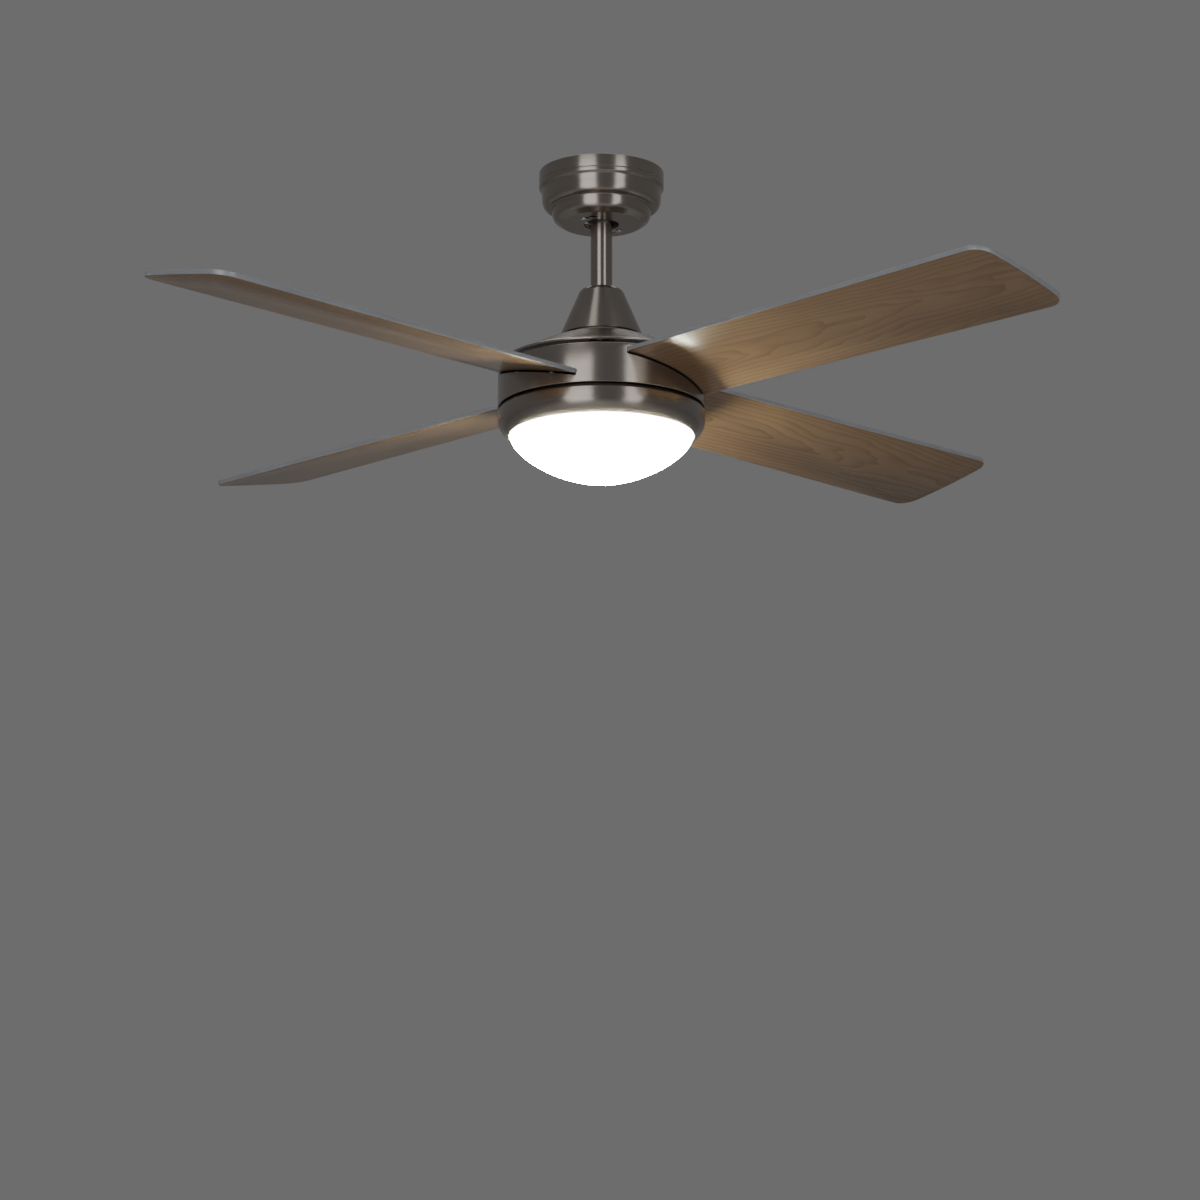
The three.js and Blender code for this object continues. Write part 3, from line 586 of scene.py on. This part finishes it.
def coupling_cover():
    """Bell over the rod's lower end."""
    outer = high("coupling_cover").x
    top = high("coupling_cover").z
    bottom = low("coupling_cover").z
    rod_clearance = high("downrod").x + 0.5 * MM

    def at(radius, below_top):
        return Vector((radius * MM, top - below_top * MM))

    line = [Vector((outer, bottom))]
    line += bezier(line[0], at(43.0, 41.0), at(36.0, 24.6), at(29.0, 8.5), steps=24)
    line += bezier(line[-1], at(27.4, 3.3), at(24.5, 0.0), at(18.5, 0.0), steps=14)
    line += [Vector((rod_clearance, top))]
    bell = lathe("coupling_bell", soft_sheet(line, SHEET_WALL, 0.35 * MM), NICKEL)
    return place(bell, "hanging_frame", "brushed_nickel", "coupling_cover")


def upper_housing():
    """Shallow dome with a rolled lip, which hides the motor from above."""
    top = high("upper_housing").z
    bottom = low("upper_housing").z
    shaft_bore = 10.0 * MM

    def at(radius, above_bottom):
        return Vector((radius * MM, bottom + above_bottom * MM))

    line = [at(123.6, 0.0)]
    line += bezier(line[0], at(126.0, 2.2), at(121.6, 4.2), steps=10)
    line += bezier(line[-1], at(100.0, 12.6), at(74.0, 29.1), at(52.0, 35.2), steps=30)
    line += bezier(line[-1], at(47.0, 36.3), at(40.0, 36.3), steps=4)
    line += [Vector((shaft_bore, top))]
    dome = lathe("housing_dome", soft_sheet(line, SHEET_WALL, 0.3 * MM), NICKEL)
    return place(dome, "hanging_frame", "brushed_nickel", "upper_housing")


# ---------------------------------------------------------------- drum

def drum_columns(half_slot):
    """The drum grid's columns: angle in plan, offset from the slot's middle, and whether the slot is open.

    Between slots, the offset runs back to where the next slot starts, so that the rows join up evenly.
    """
    across_slot = 40
    across_post = 16
    quarter = 2 * math.pi / BLADE_COUNT
    columns = []
    for number in range(BLADE_COUNT):
        middle = FIRST_BLADE_ANGLE + number * quarter
        for i in range(across_slot):
            offset = -half_slot + 2 * half_slot * i / across_slot
            columns.append((middle + offset, offset, True))
        for i in range(across_post):
            offset = half_slot + (quarter - 2 * half_slot) * i / across_post
            share = i / across_post
            columns.append((middle + offset, half_slot * (1 - 2 * share), False))
    return columns


def drum():
    """Casing wall built as a grid, left open between the two edges of each sloping slot."""
    outer = high("drum").x
    top = high("drum").z
    bottom = low("drum").z
    wall = 1.5 * MM
    inside = outer - wall
    rim_inside = outer - 6 * MM
    rim_top = bottom + 1.2 * MM
    opening = high("motor_shell_upper").x * 0.8
    bevel = 1.3 * MM
    bevel_middle = 0.38 * bevel
    low_edge = 0.6 * MM
    gap_below_blade = 2.4 * MM
    gap_above_blade = 0.5 * MM
    slot_half_width = 66.5 * MM

    plan = math.cos(BLADE_PITCH)
    slope = math.tan(BLADE_PITCH)
    underside = blade_underside_height()
    below = gap_below_blade / plan
    above = (BLADE_THICKNESS + gap_above_blade) / plan
    columns = drum_columns(math.asin(slot_half_width * plan / outer))

    bm = bmesh.new()
    grid = []
    for angle, offset, _ in columns:
        level = underside - slope * outer * math.sin(offset)
        slot_low = level - below
        slot_high = level + above
        profile = [
            (rim_inside, rim_top), (rim_inside, bottom),
            (outer - low_edge, bottom), (outer, bottom + low_edge),
            (outer, slot_low), (outer, slot_high),
            (outer, top - bevel), (outer - bevel_middle, top - bevel_middle), (outer - bevel, top),
            (opening, top), (opening, top - wall), (inside, top - wall),
            (inside, slot_high), (inside, slot_low),
            (inside, rim_top),
        ]
        grid.append([bm.verts.new((r * math.cos(angle), r * math.sin(angle), z)) for r, z in profile])

    # Where the slot's edges stand in the profile.
    outer_low, outer_high, inner_high, inner_low = 4, 5, 12, 13
    rows = len(profile)
    for i, column in enumerate(grid):
        following = grid[(i + 1) % len(grid)]
        open_here = columns[i][2]
        for k in range(rows):
            if open_here and k in (outer_low, inner_high):
                continue
            m = (k + 1) % rows
            bm.faces.new((column[k], following[k], following[m], column[m]))
        if open_here:
            for out, into in ((outer_low, inner_low), (outer_high, inner_high)):
                bm.faces.new((column[out], following[out], following[into], column[into]))
        if open_here != columns[i - 1][2]:
            bm.faces.new([column[k] for k in (outer_low, outer_high, inner_high, inner_low)])
    return place(finish_mesh("drum_casing", bm, [NICKEL]), "rotor", "brushed_nickel", "drum")


# ---------------------------------------------------------------- blades

def blade_frame(number):
    """Takes a blade's own frame (x along it, y across it, z = 0 at its underside) to the fan's frame."""
    angle = FIRST_BLADE_ANGLE + (number - 1) * 2 * math.pi / BLADE_COUNT
    lift = Matrix.Translation((0, 0, blade_underside_height()))
    return Matrix.Rotation(angle, 4, "Z") @ lift @ Matrix.Rotation(-BLADE_PITCH, 4, "X")


def distance_to_cylinder(radius, y):
    """Distance along a pitched blade at which the line y across it meets an upright cylinder."""
    return math.sqrt(radius ** 2 - (y * math.cos(BLADE_PITCH)) ** 2)


def blade_outline(root_radius):
    """Corner points of the board in its own frame: x along, y across, counter-clockwise."""
    root_half = 68.3 * MM
    tip_half = 76.8 * MM
    tab_half = 65.8 * MM
    tab_start = 92 * MM
    chamfer = 3 * MM
    corner = 22 * MM
    corner_pull = 0.42 * corner
    straight_steps = 12

    def half_width(x):
        return root_half + (x - root_radius) / (BLADE_TIP_RADIUS - root_radius) * (tip_half - root_half)

    tab_end = distance_to_cylinder(root_radius, tab_half)
    side = [Vector((tab_start, -tab_half)), Vector((tab_end, -tab_half))]
    root_x = distance_to_cylinder(root_radius, root_half)
    chamfer_bend = (root_x, -root_half + chamfer * 0.4)
    chamfer_end = (root_x + chamfer, -half_width(root_x + chamfer))
    side += bezier(side[-1], chamfer_bend, chamfer_end, steps=5)

    corner_x = math.sqrt(BLADE_TIP_RADIUS ** 2 - tip_half ** 2)
    tip = half_width(corner_x)
    start = side[-1]
    end = Vector((corner_x - corner, -tip))
    side += [start.lerp(end, i / straight_steps) for i in range(1, straight_steps + 1)]

    turn = math.asin((tip - corner) / BLADE_TIP_RADIUS)
    corner_start = (corner_x - corner_pull, -tip - 0.2 * MM)
    corner_end = (corner_x + 0.4 * MM, corner_pull - tip)
    tip_corner = Vector((BLADE_TIP_RADIUS * math.cos(turn), corner - tip))
    side += bezier(end, corner_start, corner_end, tip_corner, steps=12)
    half = side + arc((0, 0), BLADE_TIP_RADIUS, -math.degrees(turn), 0, 8)[1:]
    return half + [Vector((p.x, -p.y)) for p in reversed(half[:-1])]


def inset(points, distance):
    """The outline moved inwards by a small distance, corner by corner."""
    moved = []
    for i, point in enumerate(points):
        before = (point - points[i - 1]).normalized()
        after = (points[(i + 1) % len(points)] - point).normalized()
        middle = (before + after).normalized()
        moved.append(point + Vector((-middle.y, middle.x)) * distance / max(middle.dot(after), 0.5))
    return moved


def blade(number):
    """Board with rounded edges. The faces of its tab, inside the drum, are painted black as painted shade
    for the inside of the drum, so that the slot's gap under the blade reads dark.
    """
    underside, top, edge_band, tab = range(4)
    # The tab's faces take BLACK as painted shade for the inside of the drum.
    materials = [MAPLE, SILVER, SILVER_EDGE, BLACK]
    root_steps = 14
    root_radius = high("drum").x + 0.8 * MM
    outline = blade_outline(root_radius)
    edge = 0.5 * MM
    edge_middle = 0.3 * edge
    levels = [
        (inset(outline, edge), 0.0),
        (inset(outline, edge_middle), edge_middle),
        (outline, edge),
        (outline, BLADE_THICKNESS - edge),
        (inset(outline, edge_middle), BLADE_THICKNESS - edge_middle),
        (inset(outline, edge), BLADE_THICKNESS),
    ]
    bm = bmesh.new()
    rings = [[bm.verts.new((p.x, p.y, z)) for p in points] for points, z in levels]
    for ring, following in zip(rings, rings[1:]):
        for i in range(len(ring)):
            j = (i + 1) % len(ring)
            face = bm.faces.new((ring[i], ring[j], following[j], following[i]))
            face.material_index = edge_band
    faces = ((rings[0], 0.0, -1, underside), (rings[-1], BLADE_THICKNESS, 1, top))
    for ring, height, side, material in faces:
        reach = ring[1].co.y
        root = []
        for i in range(1, root_steps):
            y = reach * (1 - 2 * i / root_steps)
            root.append(bm.verts.new((distance_to_cylinder(root_radius, y), y, height)))
        # The tab's part of each face is painted black: painted shade.
        bm.faces.new((ring[0:2] + root + ring[-2:])[::side]).material_index = tab
        bm.faces.new((ring[1:-1] + root[::-1])[::side]).material_index = material
    board_map = bm.loops.layers.uv.new("board")
    for face in bm.faces:
        for loop in face.loops:
            loop[board_map].uv = (loop.vert.co.x + BOARD_STEP * number, loop.vert.co.y)
    bm.transform(blade_frame(number))
    piece = finish_mesh(f"blade_board_{number}", bm, materials)
    return place(piece, "rotor", "maple_blade", f"blade_{number}")


# ---------------------------------------------------------------- light kit

def light_pan():
    """Pan with a turned-down skirt and three pillars for the board, joined to its plate."""
    rim = high("light_pan").x
    top = high("light_pan").z
    wall = 1.5 * MM
    skirt = 12.4 * MM
    shaft_bore = 9.8 * MM
    pillar_circle = 80 * MM
    pillar_radius = 4 * MM
    outline = [
        (shaft_bore, top), (shaft_bore, top - wall), (rim - wall, top - wall), (rim - wall, top - skirt),
        (rim, top - skirt), (rim, top),
    ]
    outline = soften([Vector(p) for p in outline], 0.8 * MM, [len(outline) - 1])
    # The pan's dark brown is painted shade for the groove under the drum.
    pan = lathe("pan_disc", outline, PAN_PAINTED_SHADE)
    pillars = []
    for turn in (-90, 30, 150):
        foot = circle(polar(pillar_circle, turn), pillar_radius, 24)
        pillars.append(prism("pillar", foot, low("light_pan").z, top - 0.5 * wall))
    return place(cut(pan, *pillars, operation="UNION"), "hanging_frame", "cast_aluminium", "light_pan")


def light_ring():
    """Bowl-shaped ring with three tabs inside, which carry the diffuser's lugs."""
    rim = high("light_ring").x
    bottom = low("light_ring").z
    height = (high("light_ring").z - bottom) / MM
    wall = 1.1 * MM
    tab_inner = 112.4 * MM
    tab_outer = 122.5 * MM
    tab_half_angle = 11
    tab_thickness = 1.5 * MM

    def at(inwards, above_bottom):
        return Vector((rim - inwards * MM, bottom + above_bottom * MM))

    line = [at(13.9, 0.0)]
    line += bezier(line[0], at(6.5, 3.5), at(0.3, 10.5), at(0.0, 20.5), steps=30)
    line += [at(0.0, height)]
    ring = lathe("ring_bowl", soft_sheet(line, wall, 0.4 * MM), NICKEL)
    tabs = []
    for turn in BAYONET_TURNS:
        corners = sector(tab_inner, tab_outer, tab_half_angle, turn)
        tabs.append(prism("tab", corners, TAB_TOP - tab_thickness, TAB_TOP))
    return place(cut(ring, *tabs, operation="UNION"), "hanging_frame", "brushed_nickel", "light_ring")


def diffuser():
    """Opal bowl with a straight neck inside the ring, slightly pointed below, and three lugs."""
    top = high("diffuser").z
    bottom = low("diffuser").z
    radius = high("diffuser").x
    neck_end = low("light_ring").z
    wall = 2.5 * MM
    belly = 50.6 * MM
    shoulder = 20.3 * MM
    lug_inner = 109.7 * MM
    lug_outer = 116 * MM
    lug_half_angle = 10
    lug_gap = 0.3 * MM
    line = [Vector((0.0, bottom))]
    line += bezier(line[0], (belly, bottom), (radius, neck_end - shoulder), (radius, neck_end), steps=56)
    line += [Vector((radius, top))]
    outline = sheet(line, wall)
    # The inner face, too, ends on the axis.
    outline[-1].x = 0.0
    outline = soften(outline, 0.8 * MM, [len(line) - 1, len(line)])
    bowl = lathe("opal_bowl", outline, OPAL)
    lugs = []
    for turn in BAYONET_TURNS:
        corners = sector(lug_inner, lug_outer, lug_half_angle, turn)
        lugs.append(prism("lug", corners, TAB_TOP + lug_gap, top - lug_gap))
    return place(cut(bowl, *lugs, operation="UNION"), "diffuser", "opal_glass", "diffuser")


# ---------------------------------------------------------------- screws

SCREW_HEAD_RADIUS = 3.8 * MM
SCREW_HEAD_HEIGHT = 2.0 * MM
# Gap between a screw's head and the face it goes against.
SCREW_GAP = 0.3 * MM
UPSIDE_DOWN = Matrix.Rotation(math.pi, 4, "X")


def pan_head_screw(name):
    """Domed head above z = 0 with a cross recess, on a short shank."""
    radius = SCREW_HEAD_RADIUS
    height = SCREW_HEAD_HEIGHT
    shank_length = 3 * MM
    shank_radius = 0.5 * radius
    recess_half = 0.55 * radius
    recess_slim = 0.16 * radius
    recess_floor = 0.45 * height
    dome = [Vector((radius, 0.0)), Vector((radius, height * 0.35))]
    dome += bezier(dome[-1], (radius * 0.92, height), (0.0, height), steps=8)
    shank = [(0.0, -shank_length), (shank_radius, -shank_length), (shank_radius, 0.0)]
    body = lathe(name, shank + dome, ZINC, SCREW_SIDES)
    bar = [
        (-recess_half, -recess_slim), (recess_half, -recess_slim),
        (recess_half, recess_slim), (-recess_half, recess_slim),
    ]
    crossbar = [(-y, x) for x, y in bar]
    cross = [prism(f"{name}_tool", corners, recess_floor, height * 2) for corners in (bar, crossbar)]
    return cut(body, *cross)


def screw_copy(pattern, name, to_fan, body, node):
    """Copy of the pattern at its own place, riding on its own body."""
    data = pattern.data.copy()
    data.transform(to_fan)
    piece = bpy.data.objects.new(name, data)
    bpy.context.scene.collection.objects.link(piece)
    return place(piece, body, "zinc_steel", node)


def canopy_screws(pattern):
    for number in (1, 2):
        lowest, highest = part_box(f"canopy_screw_{number}")
        centre = (lowest + highest) / 2
        seat = Matrix.Translation((centre.x, centre.y, low("canopy").z - SCREW_GAP))
        driven_to = Matrix.Rotation(0.4 * number, 4, "Z")
        screw_copy(pattern, f"canopy_screw_head_{number}", seat @ driven_to @ UPSIDE_DOWN,
                   "ceiling_bracket", f"canopy_screw_{number}")


def blade_screws(pattern):
    """Two under each blade's tab, seen through the slot's gap."""
    out_from_axis = 113 * MM
    aside = 30 * MM
    for number in range(1, BLADE_COUNT + 1):
        for letter, side in (("a", -1), ("b", 1)):
            seat = Matrix.Translation((out_from_axis, side * aside, -SCREW_GAP))
            driven_to = Matrix.Rotation(0.5 * number + side, 4, "Z")
            screw_copy(pattern, f"blade_screw_head_{number}{letter}",
                       blade_frame(number) @ seat @ driven_to @ UPSIDE_DOWN,
                       "rotor", f"blade_screw_{number}{letter}")


def screws():
    pattern = pan_head_screw("screw_pattern")
    canopy_screws(pattern)
    blade_screws(pattern)
    bpy.data.objects.remove(pattern)


# ---------------------------------------------------------------- carried-over CAD nodes

BEVELLED = ("hanger_bracket", "receiver_box", "terminal_block", "led_driver", "shaft_nut")
# Edges that bend less than this get no bevel.
BEVEL_ANGLE = math.radians(40)


def dress_cad_nodes():
    """Give each CAD node its slot's material, and round the edges of boxy ones.

    The bracket is painted near-black as painted shade, in the stead of its zinc: what shows of it beside
    the rod, inside the canopy, is dark.
    """
    slots = {entry["node"]: entry["material_slot"] for entry in frame["record"]["subparts"]}
    for name, node in frame["nodes"].items():
        node.data.materials.clear()
        # The bracket's near-black is painted shade.
        node.data.materials.append(BRACKET_PAINTED_SHADE if name == "hanger_bracket" else SLOT_MATERIAL[slots[name]])
        if name in BEVELLED:
            bevel = node.modifiers.new("edges", "BEVEL")
            bevel.width = 0.5 * MM
            bevel.segments = 2
            bevel.limit_method = "ANGLE"
            bevel.angle_limit = BEVEL_ANGLE


# ---------------------------------------------------------------- stage, light and camera

def floor():
    """Pale floor, far enough below the fan to throw little light back on it."""
    half_side = 12.0
    below_fan = 2.4
    bm = bmesh.new()
    bmesh.ops.create_grid(bm, x_segments=8, y_segments=8, size=half_side)
    bmesh.ops.translate(bm, verts=bm.verts, vec=(0, 0, low("diffuser").z - below_fan))
    n = Nodes("pale_floor")
    speckle = n.noise(n.position(), 3.0, 4.0)
    colour = n.ramp(speckle, (0.3, (0.70, 0.70, 0.69)), (0.7, (0.74, 0.74, 0.73)))
    material = n.set(Base_Color=colour, Roughness=0.7)
    finish_mesh("studio_floor", bm, [material], smooth=False)


def softbox(name, azimuth, elevation, distance, width, tall, watts):
    """Area light facing the fan. Azimuth is degrees to the right of the camera's side of the fan."""
    light = bpy.data.lights.new(name, "AREA")
    light.shape = "RECTANGLE"
    light.size = width
    light.size_y = tall
    light.energy = watts
    lamp = bpy.data.objects.new(name, light)
    target = Vector((0, 0, -0.5))
    aim = Matrix.Rotation(math.radians(azimuth), 3, "Z") @ Matrix.Rotation(-math.radians(elevation), 3, "X")
    lamp.location = target + aim @ Vector((0, -distance, 0))
    lamp.rotation_euler = (target - lamp.location).to_track_quat("-Z", "Y").to_euler()
    bpy.context.scene.collection.objects.link(lamp)


def lights():
    """Even grey surroundings, and four softboxes whose reflections are the stripes on the nickel."""
    world = bpy.data.worlds.new("studio")
    bpy.context.scene.world = world
    world.use_nodes = True
    background = world.node_tree.nodes["Background"]
    background.inputs["Color"].default_value = (0.154, 0.154, 0.155, 1)
    background.inputs["Strength"].default_value = 1.0
    softbox("softbox_left", azimuth=-25, elevation=0, distance=3.6, width=1.9, tall=4.4, watts=37)
    softbox("softbox_right", azimuth=35, elevation=0, distance=3.6, width=1.1, tall=4.4, watts=21)
    softbox("softbox_overhead", azimuth=-36, elevation=62, distance=3.0, width=0.7, tall=1.0, watts=2)
    softbox("softbox_top", azimuth=180, elevation=72, distance=3.4, width=2.4, tall=2.4, watts=30)


def camera():
    """The photo's viewpoint, in front of the fan and below it. Its place, lens and tilt were fitted."""
    aside = -1.8 * MM
    distance = 4.338
    below_ceiling = 1.507
    tilt_up = 0.2194
    data = bpy.data.cameras.new("view")
    data.sensor_width = 36
    data.lens = 110.7
    eye = bpy.data.objects.new("view", data)
    eye.location = (aside, -distance, -below_ceiling)
    eye.rotation_euler = (math.pi / 2 + tilt_up, 0, 0)
    bpy.context.scene.collection.objects.link(eye)
    bpy.context.scene.camera = eye


# ---------------------------------------------------------------- build

camera()
lights()
floor()
dress_cad_nodes()
canopy()
downrod()
coupling_cover()
upper_housing()
drum()
for blade_number in range(1, BLADE_COUNT + 1):
    blade(blade_number)
light_pan()
light_ring()
diffuser()
screws()

bpy.context.view_layer.update()
